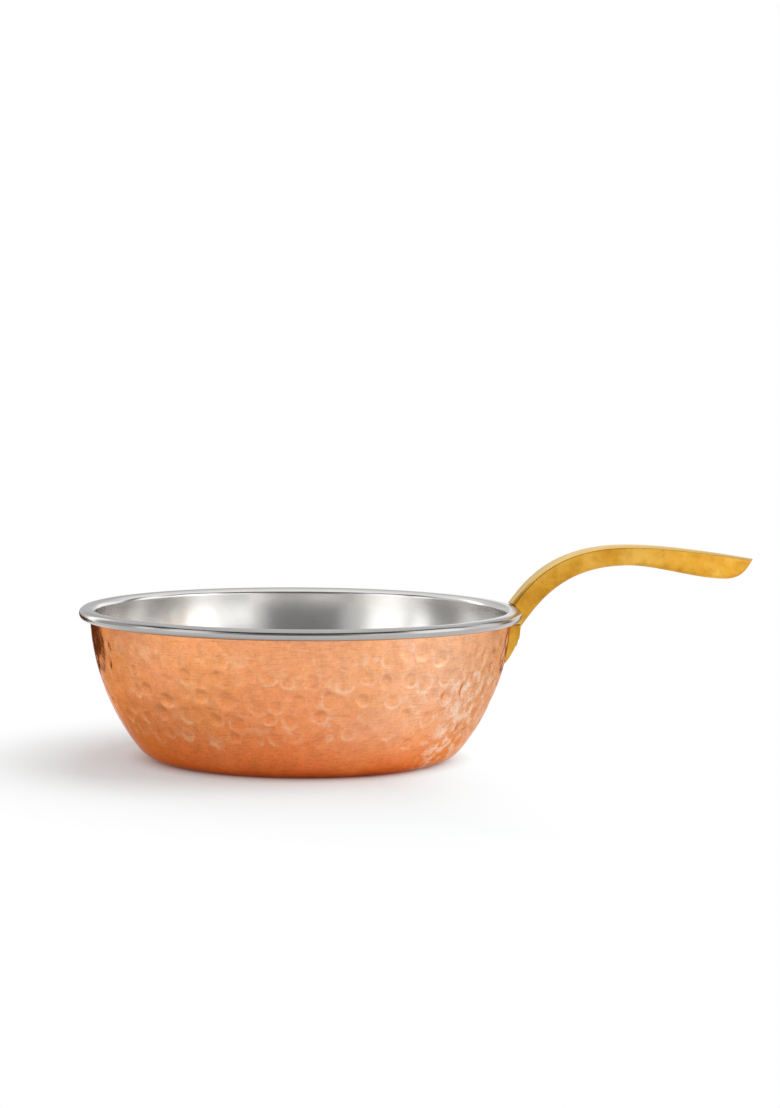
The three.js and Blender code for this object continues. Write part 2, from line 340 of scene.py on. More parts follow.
def turned(name, outline, sides, pushed_in=None):
    """A closed outline turned about Z. An outline that starts and ends on the axis gets one point at each
    end. pushed_in gives a depth for each point of the outline's first stretch and each side."""
    points = np.array([tuple(point) for point in outline])
    angles = np.linspace(0, math.tau, sides, endpoint=False)
    radii = np.repeat(points[:, :1], sides, axis=1)
    heights = np.repeat(points[:, 1:], sides, axis=1)
    if pushed_in is not None:
        along = np.gradient(points, axis=0)
        along /= np.linalg.norm(along, axis=1)[:, None]
        count = len(pushed_in)
        radii[:count] -= along[:count, 1:] * pushed_in
        heights[:count] += along[:count, :1] * pushed_in
    vertices = []
    rings = []
    for point, ring_radii, ring_heights in zip(outline, radii, heights):
        start = len(vertices)
        if point.x < AXIS_REACH:
            vertices.append((0, 0, ring_heights[0]))
            rings.append([start] * sides)
        else:
            vertices.extend(zip(ring_radii * np.cos(angles), ring_radii * np.sin(angles), ring_heights))
            rings.append(list(range(start, start + sides)))
    on_axis = outline[0].x < AXIS_REACH
    following = rings[1:] if on_axis else rings[1:] + rings[:1]
    faces = []
    for lower, upper in zip(rings, following):
        for side in range(sides):
            after = (side + 1) % sides
            corners = (lower[side], lower[after], upper[after], upper[side])
            faces.append(tuple(dict.fromkeys(corners)))
    return make_object(name, vertices, faces)


def baked(thing):
    """Makes the object's modifiers part of its mesh."""
    graph = bpy.context.evaluated_depsgraph_get()
    mesh = bpy.data.meshes.new_from_object(thing.evaluated_get(graph))
    thing.modifiers.clear()
    thing.data = mesh
    return thing


def combined(thing, other, operation):
    """Joins, cuts or intersects the first object with the second, which goes away."""
    cut = thing.modifiers.new(operation, "BOOLEAN")
    cut.operation = operation
    cut.object = other
    cut.solver = "MANIFOLD"
    baked(thing)
    bpy.data.objects.remove(other)
    return thing


def shaded_smooth(thing, sharp_angle):
    for face in thing.data.polygons:
        face.use_smooth = True
    thing.data.set_sharp_from_angle(angle=math.radians(sharp_angle))
    return thing


# Hammered copper shell
def dented(field, down, around_radius, angles, dent):
    """Adds one dent to the field of depths, where it is deeper than what is there."""
    place, angle, radius, stretch, depth = dent
    away = (down - place) / radius
    turn = (angles - angle + math.pi) % math.tau - math.pi
    reach = 1 / math.sqrt(1 - sum(DENT_WAVES))
    rows = np.flatnonzero(np.abs(away) < reach)
    if len(rows) == 0:
        return
    width = around_radius[rows].mean()
    columns = np.flatnonzero(np.abs(turn) * width < radius * stretch * reach)
    across = turn[columns][None, :] * around_radius[rows][:, None] / (radius * stretch)
    upright = away[rows][:, None]
    lean = np.arctan2(upright, across)
    oval = DENT_WAVES[0] * np.cos(2 * lean + DENT_LEAN[0] * angle)
    three_sided = DENT_WAVES[1] * np.cos(3 * lean + DENT_LEAN[1] * angle)
    inside = np.clip(1 - (upright**2 + across**2) * (1 + oval + three_sided), 0, None)
    block = np.ix_(rows, columns)
    field[block] = np.maximum(field[block], depth * inside**DENT_CURVE)


def hammer_field(points):
    """Depth of the hammer marks for each point of the wall's outline and each side of the shell. Places of
    dents are measured down the wall from the height of the rim."""
    draw = random.Random(DENT_SEED)
    flat = np.array([tuple(point) for point in points])
    steps = np.linalg.norm(np.diff(flat, axis=0), axis=1)
    down = wall_arc * abs(wall_angle(0, points[-1].y)) + np.append(np.cumsum(steps[::-1])[::-1], 0)
    angles = np.linspace(0, math.tau, SHELL_SIDES, endpoint=False)
    large = np.zeros((len(points), SHELL_SIDES))
    for row, fade in enumerate(ROW_FADE):
        row_place = FIRST_ROW + row * ROW_STEP
        row_radius = np.interp(row_place, down[::-1], flat[::-1, 0])
        count = round(math.tau * row_radius / DENT_STEP)
        start = draw.uniform(0, math.tau)
        for i in range(count):
            angle = start + (i + draw.uniform(-DENT_SCATTER, DENT_SCATTER)) * math.tau / count
            radius = draw.uniform(*DENT_RADIUS)
            depth = draw.uniform(*DENT_DEPTH) * fade * (1 + DENT_BIAS * math.cos(angle))
            place = row_place + draw.gauss(0, ROW_SPREAD)
            stretch = draw.uniform(*DENT_STRETCH)
            dent = (place, angle % math.tau, radius, stretch, depth)
            dented(large, down, flat[:, 0], angles, dent)
    small = np.zeros_like(large)
    lowest = FIRST_ROW + (len(ROW_FADE) - 1) * ROW_STEP
    for _ in range(SMALL_DENTS):
        place = draw.uniform(SMALL_START, lowest)
        angle = draw.uniform(0, math.tau)
        radius = draw.uniform(*SMALL_RADIUS)
        stretch = draw.uniform(*SMALL_STRETCH)
        dent = (place, angle, radius, stretch, draw.uniform(*SMALL_DEPTH))
        dented(small, down, flat[:, 0], angles, dent)
    return large + small


def make_shell():
    flange_bottom = bead_centre.y + (BEAD_RADIUS - STEEL_SHEET) * math.sin(CURL_END) + FIT_GAP
    top = flange_bottom - FLANGE_BEND
    bend = Vector((wall_point(0, top).x + FLANGE_BEND, top))
    edge = wall_top_radius + FLANGE_WIDTH
    outside = pan_outline(0, top, WALL_STEP)
    floor_count = len(floor_points(0, WALL_STEP))
    field = np.zeros((len(outside), SHELL_SIDES))
    field[floor_count:] = hammer_field(outside[floor_count:])
    outline = outside + arc(bend, FLANGE_BEND, math.pi, math.pi / 2, BEND_STEP)[1:]
    outline += [Vector((edge, flange_bottom)), Vector((edge, flange_bottom + COPPER_SHEET))]
    outline += arc(bend, FLANGE_BEND + COPPER_SHEET, math.pi / 2, math.pi, BEND_STEP)[:-1]
    outline += pan_outline(COPPER_SHEET, top, BOWL_STEP)[::-1]
    return turned("copper_shell_hammered", outline, SHELL_SIDES, field)


# Steel bowl with its rolled rim
def make_bowl():
    top = PAN_HEIGHT - STEEL_SHEET - LIP_BEND
    bend = Vector((wall_point(bowl_outside, top).x + LIP_BEND, top))
    outline = pan_outline(bowl_outside, top, BOWL_STEP)
    outline += arc(bend, LIP_BEND, math.pi, math.pi / 2, BEND_STEP)[1:]
    outline += arc(bead_centre, BEAD_RADIUS - STEEL_SHEET, math.pi / 2, CURL_END, BEND_STEP)
    outline += arc(bead_centre, BEAD_RADIUS, CURL_END, math.pi / 2, BEND_STEP)
    outline += arc(bend, LIP_BEND + STEEL_SHEET, math.pi / 2, math.pi, BEND_STEP)[:-1]
    outline += pan_outline(bowl_inside, top, BOWL_STEP)[::-1]
    return turned("steel_bowl_polished", outline, BOWL_SIDES)


# Rivets stand square to the wall. Along a rivet, zero is the copper's outside.
head_seat = -(bowl_inside + FIT_GAP)
head_crown = head_seat - HEAD_HEIGHT


def rivet_place(sideways):
    on_wall = wall_point(0, RIVET_HEIGHT)
    azimuth = math.asin(sideways / on_wall.x)
    place = Vector((on_wall.x * math.cos(azimuth), on_wall.x * math.sin(azimuth), on_wall.y))
    turn = Matrix.Rotation(azimuth, 4, "Z") @ Matrix.Rotation(-wall_angle(0, RIVET_HEIGHT), 4, "Y")
    return Matrix.Translation(place) @ turn @ Matrix.Rotation(math.pi / 2, 4, "Y")


def shank_outline(start, gap):
    """Shank and sunk end of a rivet, from a place along it to the plate's face, grown by a gap."""
    shank = RIVET_RADIUS + gap
    sink_start = Vector((shank, plate_face - SINK_DEPTH))
    return [Vector((shank, start)), sink_start, Vector((SINK_RADIUS + gap, plate_face))]


def make_rivet(name, sideways):
    sphere = (HEAD_RADIUS**2 + HEAD_HEIGHT**2) / (2 * HEAD_HEIGHT)
    spread = math.asin(HEAD_RADIUS / sphere)
    centre = Vector((0, head_crown + sphere))
    outline = arc(centre, sphere, -math.pi / 2, spread - math.pi / 2, BEND_STEP)
    outline += shank_outline(head_seat, 0) + [Vector((0, plate_face))]
    rivet = turned(name, outline, RIVET_SIDES)
    rivet.data.transform(rivet_place(sideways))
    return rivet


def drilled(thing):
    """Takes both rivet holes out of a piece. The tool runs on past the plate's face."""
    beyond = plate_face + SINK_DEPTH
    outline = [Vector((0, head_crown))] + shank_outline(head_crown, HOLE_GAP)
    outline += [Vector((SINK_RADIUS + HOLE_GAP, beyond)), Vector((0, beyond))]
    for sideways in (RIVET_SIDEWAYS, -RIVET_SIDEWAYS):
        tool = turned("hole", outline, RIVET_SIDES)
        tool.data.transform(rivet_place(sideways))
        combined(thing, tool, "DIFFERENCE")
    return thing


# Cast brass handle
def curve(start, leave, leave_hold, end, arrive, arrive_hold):
    """A curve without its start. It leaves its start and its end in the given directions, in degrees."""
    span = (end - start).length
    first = polar(start, leave_hold * span, math.radians(leave))
    last = polar(end, arrive_hold * span, math.radians(arrive))
    points = []
    for i in range(1, CURVE_STEPS + 1):
        t = i / CURVE_STEPS
        first_share = 3 * t * (1 - t) ** 2
        last_share = 3 * t**2 * (1 - t)
        points.append((1 - t) ** 3 * start + first_share * first + last_share * last + t**3 * end)
    return points


def side_outline():
    """From the side: up the neck, over the crest to the tip, and back along the underside to the plate."""
    start = polar(bead_centre, BEAD_RADIUS + FIT_GAP, math.radians(NECK_START))
    foot = wall_point(-plate_face, plate_top - NECK_FOOT)
    points = [start]
    points += curve(start, NECK_SLOPE, NECK_HOLD, CREST, 180, CREST_HOLD)
    points += curve(CREST, 0, EVEN_HOLD, TIP, 180 - TIP_SLOPE, EVEN_HOLD)
    points += curve(TIP, -BEAK_ANGLE, NECK_HOLD, BELLY, 0, CREST_HOLD)
    points += curve(BELLY, 180, EVEN_HOLD, ARCH, 0, EVEN_HOLD)
    points += curve(ARCH, 180, CREST_HOLD, foot, NECK_SLOPE, NECK_HOLD)
    return points + [Vector((bead_centre.x, foot.y)), bead_centre]


def inset(outline, amount):
    """An outline moved inward. A point that would cross over at a tight corner takes the place of the
    nearest one that doesn't."""
    points = np.array([tuple(point) for point in outline])
    steps = np.roll(points, -1, axis=0) - points
    turns = np.cross(points, np.roll(points, -1, axis=0)).sum()
    inward = np.stack([-steps[:, 1], steps[:, 0]], axis=1) * np.sign(turns)
    inward /= np.linalg.norm(inward, axis=1)[:, None]
    before = np.roll(inward, 1, axis=0)
    spread = 1 + (inward * before).sum(axis=1)
    moved = points + amount * (inward + before) / spread[:, None]
    along = ((moved[:, None] - points) * steps).sum(axis=2) / (steps**2).sum(axis=1)
    nearest = points + np.clip(along, 0, 1)[:, :, None] * steps
    room = np.linalg.norm(moved[:, None] - nearest, axis=2).min(axis=1)
    kept = np.flatnonzero(room > INSET_ROOM * amount)
    count = len(points)
    gaps = np.abs((np.arange(count)[:, None] - kept + count // 2) % count - count // 2)
    return [Vector(moved[kept[i]]) for i in gaps.argmin(axis=1)]


def layered(name, layers, place):
    """A solid through outlines with as many points each, and closed ends. place turns an outline's point
    and its layer's level into a point in space."""
    count = len(layers[0][0])
    vertices = [place(point, level) for outline, level in layers for point in outline]
    faces = [tuple(range(count)), tuple(range(len(vertices) - count, len(vertices)))]
    for start in range(0, len(vertices) - count, count):
        for i in range(count):
            after = (i + 1) % count
            faces.append((start + i, start + after, start + count + after, start + count + i))
    return make_object(name, vertices, faces)


def bevelled_bar(name):
    """The side outline carried across the bar's width, with bevelled edges."""
    outline = side_outline()
    small = inset(outline, BAR_BEVEL)
    flat = BAR_HALF - BAR_BEVEL
    layers = [(small, -BAR_HALF), (outline, -flat), (outline, flat), (small, BAR_HALF)]
    bar = layered(name, layers, lambda point, level: (point.x, level, point.y))
    built = bmesh.new()
    built.from_mesh(bar.data)
    bmesh.ops.remove_doubles(built, verts=built.verts, dist=SAME_PLACE)
    built.to_mesh(bar.data)
    built.free()
    return bar


def plate_outline():
    """The plate from the end: rounded corners beside the neck and a round lower end."""
    shoulder = plate_top - SHOULDER_HEIGHT
    centre = PLATE_BOTTOM + PLATE_ROUND
    side = [Vector((BAR_HALF, plate_top))]
    side += curve(side[0], 0, EVEN_HOLD, Vector((PLATE_HALF, shoulder)), 90, EVEN_HOLD)
    for i in range(CURVE_STEPS + 1):
        angle = math.pi / 2 * i / CURVE_STEPS
        side.append(Vector((PLATE_HALF * math.cos(angle), centre - PLATE_ROUND * math.sin(angle))))
    return side + [Vector((-point.x, point.y)) for point in side[-2::-1]]


def make_plate():
    """A piece of a ring round the pan, thinner towards its lower end, cut to the plate's outline."""
    edge = wall_point(-(FIT_GAP + PLATE_EDGE), PLATE_BOTTOM)
    angles = [wall_angle(-plate_face, PLATE_BOTTOM + PLATE_TAPER), wall_angle(-plate_face, plate_top)]
    ring = [edge] + arc(wall_centre, wall_arc + plate_face, *angles, BOWL_STEP)
    angles = [wall_angle(-FIT_GAP, plate_top), wall_angle(-FIT_GAP, PLATE_BOTTOM)]
    ring += arc(wall_centre, wall_arc + FIT_GAP, *angles, BOWL_STEP)
    plate = turned("plate", ring, BOWL_SIDES)
    outline = plate_outline()
    layers = [(outline, 0), (outline, 2 * RIM_RADIUS)]
    cutter = layered("cutter", layers, lambda point, level: (level, point.x, point.y))
    return combined(plate, cutter, "INTERSECT")


def make_handle():
    handle = bevelled_bar("brass_handle_cast")
    combined(handle, make_plate(), "UNION")
    wall = pan_outline(-FIT_GAP, PAN_HEIGHT, BOWL_STEP) + [Vector((0, PAN_HEIGHT))]
    combined(handle, turned("wall_room", wall, BOWL_SIDES), "DIFFERENCE")
    bead = arc(bead_centre, BEAD_RADIUS + FIT_GAP, 0, math.tau, BEND_STEP)[:-1]
    combined(handle, turned("bead_room", bead, BOWL_SIDES), "DIFFERENCE")
    remesh = handle.modifiers.new("even", "REMESH")
    remesh.mode = "VOXEL"
    remesh.voxel_size = CAST_VOXEL
    smooth = handle.modifiers.new("cast", "SMOOTH")
    smooth.factor = CAST_SMOOTHNESS
    smooth.iterations = CAST_SMOOTHING
    return drilled(baked(handle))


# Nodes for the materials
def new_material(name):
    material = bpy.data.materials.new(name)
    material.use_nodes = True
    tree = material.node_tree
    return material, tree, tree.nodes["Principled BSDF"]


def new_metal(name):
    material, tree, shader = new_material(name)
    shader.inputs["Metallic"].default_value = 1.0
    return material, tree, shader


def add(tree, kind, values=None, **settings):
    """Adds a node. settings are its own properties, and values its inputs: constants or sockets."""
    made = tree.nodes.new(kind)
    for key, value in settings.items():
        setattr(made, key, value)
    for key, value in (values or {}).items():
        if isinstance(value, bpy.types.NodeSocket):
            tree.links.new(value, made.inputs[key])
        else:
            made.inputs[key].default_value = value
    return made


def maths(tree, operation, *values):
    return add(tree, "ShaderNodeMath", dict(enumerate(values)), operation=operation).outputs[0]


def measure(tree, operation, *vectors):
    """A number from one or two vectors, such as a length or a distance."""
    values = dict(enumerate(vectors))
    return add(tree, "ShaderNodeVectorMath", values, operation=operation).outputs["Value"]


def direction(tree, vector):
    return add(tree, "ShaderNodeVectorMath", {0: vector}, operation="NORMALIZE").outputs["Vector"]


def parts_of(tree, vector):
    return add(tree, "ShaderNodeSeparateXYZ", {"Vector": vector}).outputs


def joined(tree, **parts):
    return add(tree, "ShaderNodeCombineXYZ", parts).outputs[0]


def from_axis(tree, where):
    """The flat part of a place, which points away from the pan's axis."""
    parts = parts_of(tree, where)
    return joined(tree, X=parts["X"], Y=parts["Y"])


def spread_over(tree, value, start, end, low=0.0, high=1.0, kind="LINEAR"):
    """Runs from low to high while the value runs from start to end, and stays level beyond them."""
    values = {"Value": value, "From Min": start, "From Max": end, "To Min": low, "To Max": high}
    return add(tree, "ShaderNodeMapRange", values, interpolation_type=kind).outputs["Result"]


def noise(tree, place, scale, detail, roughness):
    values = {"Vector": place, "Scale": scale, "Detail": detail, "Roughness": roughness}
    return add(tree, "ShaderNodeTexNoise", values).outputs["Fac"]


def ramp(tree, value, stops):
    """Colours between the given stops, each a place and a colour."""
    made = add(tree, "ShaderNodeValToRGB", {"Fac": value})
    elements = made.color_ramp.elements
    while len(elements) < len(stops):
        elements.new(0.5)
    for element, (place, colour) in zip(elements, stops):
        element.position = place
        element.color = (*colour, 1)
    return made.outputs["Color"]


def levels(tree, value, *stops):
    """Greys between the given stops, each a place and a level."""
    return ramp(tree, value, [(place, (level, level, level)) for place, level in stops])


def mixed(tree, factor, first, second, blend="MIX"):
    values = {MIX_FACTOR: factor, MIX_FIRST: first, MIX_SECOND: second}
    made = add(tree, "ShaderNodeMix", values, data_type="RGBA", blend_type=blend)
    return made.outputs[MIX_RESULT]


def times(tree, first, second):
    return mixed(tree, 1.0, first, second, "MULTIPLY")


def object_place(tree):
    return add(tree, "ShaderNodeTexCoord").outputs["Object"]


def surface_normal(tree):
    return add(tree, "ShaderNodeNewGeometry").outputs["Normal"]


def ring_marks(tree, across, around, detail, roughness):
    """Marks that run round the pan's axis: fine across them, long around."""
    where = object_place(tree)
    parts = parts_of(tree, where)
    radius = measure(tree, "LENGTH", from_axis(tree, where))
    turn = maths(tree, "ARCTAN2", parts["Y"], parts["X"])
    place = joined(
        tree,
        X=maths(tree, "MULTIPLY", radius, across),
        Y=maths(tree, "MULTIPLY", parts["Z"], across),
        Z=maths(tree, "MULTIPLY", turn, around),
    )
    return noise(tree, place, scale=1.0, detail=detail, roughness=roughness)


def spun(tree, shader, amount):
    """Spreads reflections across fine marks that run round the pan's axis."""
    shader.inputs["Anisotropic"].default_value = amount
    shader.inputs["Anisotropic Rotation"].default_value = ACROSS_MARKS
    around_axis = add(tree, "ShaderNodeTangent", direction_type="RADIAL", axis="Z").outputs["Tangent"]
    tree.links.new(around_axis, shader.inputs["Tangent"])


def bumped(tree, shader, *layers):
    """Tilts the shading by each layer's height, strength and distance in turn."""
    normal = None
    for height, strength, distance in layers:
        values = {"Height": height, "Strength": strength, "Distance": distance}
        if normal:
            values["Normal"] = normal
        normal = add(tree, "ShaderNodeBump", values).outputs["Normal"]
    tree.links.new(normal, shader.inputs["Normal"])


# Copper
def dent_place(tree, where, height):
    """For a point of the wall: its depth below the undented outside, as a share of the deepest dent, and
    how far its surface tilts up from the undented wall. Both fade out at the base."""
    flat = from_axis(tree, where)
    spoke = joined(
        tree,
        X=maths(tree, "SUBTRACT", measure(tree, "LENGTH", flat), wall_centre.x),
        Y=maths(tree, "SUBTRACT", height, wall_centre.y),
    )
    reach = measure(tree, "LENGTH", spoke)
    level = maths(tree, "DIVIDE", maths(tree, "SUBTRACT", wall_arc, reach), DENT_DEPTH[1])
    normal = surface_normal(tree)
    out_part = measure(tree, "DOT_PRODUCT", normal, direction(tree, flat))
    up_part = parts_of(tree, normal)["Z"]
    spoke_parts = parts_of(tree, spoke)
    upward = maths(tree, "MULTIPLY", up_part, spoke_parts["X"])
    outward = maths(tree, "MULTIPLY", out_part, spoke_parts["Y"])
    tilt = maths(tree, "DIVIDE", maths(tree, "SUBTRACT", upward, outward), reach)
    above_base = spread_over(tree, height, *DENT_HEIGHTS)
    return maths(tree, "MULTIPLY", level, above_base), maths(tree, "MULTIPLY", tilt, above_base)


def clouded_tone(tree, where, height):
    """The copper's colour by height, in soft clouds, with golden places."""
    clouds = noise(tree, where, scale=70, detail=5, roughness=0.65)
    lift = maths(tree, "MULTIPLY", maths(tree, "SUBTRACT", clouds, 0.5), CLOUD_HEIGHT)
    share = maths(tree, "ADD", maths(tree, "DIVIDE", height, PAN_HEIGHT), lift)
    patches = noise(tree, where, scale=32, detail=4, roughness=0.6)
    golden = levels(tree, patches, (0.48, 0.0), (0.68, 0.35))
    return mixed(tree, golden, ramp(tree, share, COPPER_TONES), GOLDEN_TONE)


def painted_sheen_share(tree, along, height):
    """Painted sheen, as light on the handle's side: more towards the handle, and less near the base."""
    towards = spread_over(tree, along, *PAINTED_SHEEN_ALONG, high=PAINTED_SHEEN_MOST, kind="SMOOTHSTEP")
    return maths(tree, "MULTIPLY", towards, spread_over(tree, height, *PAINTED_SHEEN_HEIGHTS))


def painted_glint_share(tree, where, level, facing):
    """Painted glints on the ridges round the dents, in patches, most on the sides that face up."""
    ridge = levels(tree, level, (0.02, 0.0), (0.10, 0.9), (0.18, 0.9), (0.42, 0.0))
    facing_up = levels(tree, facing, (0.32, 0.4), (0.60, 1.0))
    patches = noise(tree, where, scale=95, detail=5, roughness=0.65)
    glint_patches = levels(tree, patches, (0.43, 0.06), (0.60, 0.9))
    return times(tree, times(tree, ridge, facing_up), glint_patches)


def painted_highlight_share(tree, where, height):
    """Where pale painted highlights lie in flecks, low on one side."""
    towards = measure(tree, "DOT_PRODUCT", direction(tree, from_axis(tree, where)), HIGHLIGHT_FLECK_SIDE)
    beside = spread_over(tree, towards, *HIGHLIGHT_FLECK_NEARNESS, high=HIGHLIGHT_FLECK_MOST, kind="SMOOTHSTEP")
    share = maths(tree, "MULTIPLY", beside, spread_over(tree, height, *HIGHLIGHT_FLECK_HEIGHTS))
    highlight_flecks = noise(tree, where, scale=260, detail=5, roughness=0.65)
    return times(tree, levels(tree, highlight_flecks, (0.47, 0.0), (0.59, 1.0)), share)


def speck_share(tree, where):
    """Where small dark specks lie: at the middle of a few cells."""
    cells = add(tree, "ShaderNodeTexVoronoi", {"Vector": where, "Scale": 150.0, "Randomness": 1.0})
    speck = levels(tree, cells.outputs["Distance"], (0.03, 0.8), (0.08, 0.0))
    chosen = levels(tree, cells.outputs["Color"], (0.80, 0.0), (0.84, 1.0))
    return times(tree, speck, chosen)


def copper_material():
    material, tree, shader = new_metal("hammered_copper")
    shader.inputs["Specular Tint"].default_value = COPPER_GRAZED
    spun(tree, shader, COPPER_SPIN)
    where = object_place(tree)
    parts = parts_of(tree, where)
    along = parts["X"]
    height = parts["Z"]
    level, tilt = dent_place(tree, where, height)
    facing = maths(tree, "ADD", maths(tree, "MULTIPLY", tilt, TILT_CONTRAST), 0.5)
    # Pale painted sheen towards the handle's side, in clouds
    painted_sheen = painted_sheen_share(tree, along, height)
    clouds = noise(tree, where, scale=55, detail=5, roughness=0.6)
    painted_sheen_clouds = times(tree, painted_sheen, levels(tree, clouds, (0.32, 0.5), (0.62, 1.0)))
    tone = mixed(tree, painted_sheen_clouds, clouded_tone(tree, where, height), PAINTED_SHEEN_TONE)
    # Painted glints on the up-facing ridges round the dents
    glint_tone = mixed(tree, painted_sheen, PAINTED_GLINT_TONE, PAINTED_SHEEN_GLINT_TONE)
    tone = mixed(tree, painted_glint_share(tree, where, level, facing), tone, glint_tone)
    # Pale painted highlight flecks, low on one side
    tone = mixed(tree, painted_highlight_share(tree, where, height), tone, HIGHLIGHT_FLECK_TONE)
    # Painted shade towards the pan's left and right ends
    from_left = maths(tree, "ADD", maths(tree, "DIVIDE", along, 2 * RIM_RADIUS), 0.5)
    tone = times(tree, tone, levels(tree, from_left, *SIDE_SHADE_LEVELS))
    # Painted shade where the surface tilts down, on the upper sides of the dents
    tone = times(tree, tone, levels(tree, facing, (0.15, 0.86), (0.40, 1.0)))
    stain = noise(tree, where, scale=260, detail=6, roughness=0.7)
    tone = times(tree, tone, levels(tree, stain, (0.30, 0.86), (0.60, 1.03)))
    grain = noise(tree, where, scale=900, detail=4, roughness=0.7)
    tone = times(tree, tone, levels(tree, grain, (0.34, 0.90), (0.56, 1.03)))
    scratches = ring_marks(tree, across=1500, around=14, detail=4, roughness=0.7)
    tone = times(tree, tone, levels(tree, scratches, (0.30, 0.84), (0.50, 1.02)))
    tone = mixed(tree, speck_share(tree, where), tone, SPECK_TONE)
    tree.links.new(tone, shader.inputs["Base Color"])
    smears = noise(tree, where, scale=120, detail=4, roughness=0.6)
    tree.links.new(levels(tree, smears, (0.3, 0.16), (0.7, 0.28)), shader.inputs["Roughness"])
    relief = maths(tree, "MULTIPLY", level, -DENT_SHADING)
    lines = ring_marks(tree, across=1800, around=9, detail=3, roughness=0.5)
    bumped(tree, shader, (relief, 1.0, DENT_DEPTH[1]), (lines, *FINE_BUMP), (grain, *FINE_BUMP))
    return material


# Steel and brass
def steel_material(name, colour, roughness, rim_shade=1.0):
    """Steel with faint turning marks. Its colour is darkened to the given level on the rolled rim, as
    painted shade.
    """
    material, tree, shader = new_metal(name)
    where = object_place(tree)
    dark = tuple(STEEL_CLOUDS * part for part in colour)
    clouds = noise(tree, where, scale=40, detail=4, roughness=0.55)
    tone = ramp(tree, clouds, [(0.3, dark), (0.7, colour)])
    radius = measure(tree, "LENGTH", from_axis(tree, where))
    # Painted shade on the rolled rim
    level = spread_over(tree, radius, wall_top_radius - RIM_FADE, wall_top_radius, 1.0, rim_shade)
    tree.links.new(times(tree, tone, level), shader.inputs["Base Color"])
    lines = ring_marks(tree, across=2600, around=5, detail=3, roughness=0.6)
    between, on_marks = (share * roughness for share in STEEL_MARKS)
    tree.links.new(levels(tree, lines, (0.3, between), (0.7, on_marks)), shader.inputs["Roughness"])
    return material


def brass_material():
    """Cast brass in soft clouds, brighter towards the tip, with a pale painted highlight where it faces up.
    """
    material, tree, shader = new_metal("cast_brass")
    where = object_place(tree)
    tone = ramp(tree, noise(tree, where, scale=75, detail=5, roughness=0.6), BRASS_TONES)
    stain = noise(tree, where, scale=260, detail=5, roughness=0.6)
    tone = times(tree, tone, levels(tree, stain, (0.28, 0.78), (0.5, 1.0)))
    outward = maths(tree, "DIVIDE", parts_of(tree, where)["X"], handle_high.x)
    tone = times(tree, tone, levels(tree, outward, *BRASS_REACHES))
    # Pale painted highlight on the faces that look up
    up = parts_of(tree, surface_normal(tree))["Z"]
    tone = mixed(tree, levels(tree, up, (0.40, 0.0), (0.60, 0.9)), tone, BRASS_TOP_HIGHLIGHT)
    tree.links.new(tone, shader.inputs["Base Color"])
    smears = noise(tree, where, scale=160, detail=4, roughness=0.6)
    tree.links.new(levels(tree, smears, (0.3, 0.30), (0.7, 0.44)), shader.inputs["Roughness"])
    pits = noise(tree, where, scale=420, detail=5, roughness=0.6)
    bumped(tree, shader, (pits, *CAST_BUMP))
    return material


# Studio
def seen_rays(tree):
    """One where a ray comes from the camera, from a reflection or through glass."""
    path = add(tree, "ShaderNodeLightPath").outputs
    seen = maths(tree, "MAXIMUM", path["Is Camera Ray"], path["Is Glossy Ray"])
    return maths(tree, "MAXIMUM", seen, path["Is Transmission Ray"])


def make_world():
    """Plain white where it is seen, and a little less as a light."""
    world = bpy.data.worlds.new("white_studio")
    world.use_nodes = True
    bpy.context.scene.world = world
    tree = world.node_tree
    white = tree.nodes["Background"]
    white.inputs["Color"].default_value = WHITE
    fill = add(tree, "ShaderNodeBackground", {"Color": WHITE, "Strength": AMBIENT})
    both = add(tree, "ShaderNodeMixShader", {0: seen_rays(tree), 1: fill.outputs[0], 2: white.outputs[0]})
    tree.links.new(both.outputs[0], tree.nodes["World Output"].inputs["Surface"])


def make_floor():
    bpy.ops.mesh.primitive_circle_add(vertices=FLOOR_SIDES, radius=FLOOR_RADIUS, fill_type="NGON")
    floor = bpy.context.object
    floor.name = "floor"
    material, tree, shader = new_material("white_floor")
    shader.inputs["Base Color"].default_value = FLOOR_COLOUR
    shader.inputs["Roughness"].default_value = 1.0
    shader.inputs["Specular IOR Level"].default_value = 0.0
    where = object_place(tree)
    from_shadow = measure(tree, "DISTANCE", where, SHADOW_PLACE)
    far = spread_over(tree, from_shadow, *SHADOW_REACH, low=FLOOR_GLOW)
    bright = spread_over(tree, parts_of(tree, where)["X"], *BRIGHT_SIDE, kind="SMOOTHSTEP")
    from_middle = measure(tree, "LENGTH", where)
    clear = spread_over(tree, from_middle, BASE_RADIUS, BASE_RADIUS + CONTACT_WIDTH)
    glow = maths(tree, "MULTIPLY", maths(tree, "MAXIMUM", far, bright), clear)
    factor = maths(tree, "MULTIPLY", glow, seen_rays(tree))
    white = add(tree, "ShaderNodeEmission", {"Color": WHITE, "Strength": 1.0})
    both = add(tree, "ShaderNodeMixShader", {0: factor, 1: shader.outputs[0], 2: white.outputs[0]})
    tree.links.new(both.outputs[0], tree.nodes["Material Output"].inputs["Surface"])
    floor.data.materials.append(material)


def heading(azimuth):
    """The flat direction of an azimuth in degrees."""
    turn = math.radians(azimuth)
    return Vector((math.sin(turn), -math.cos(turn), 0))


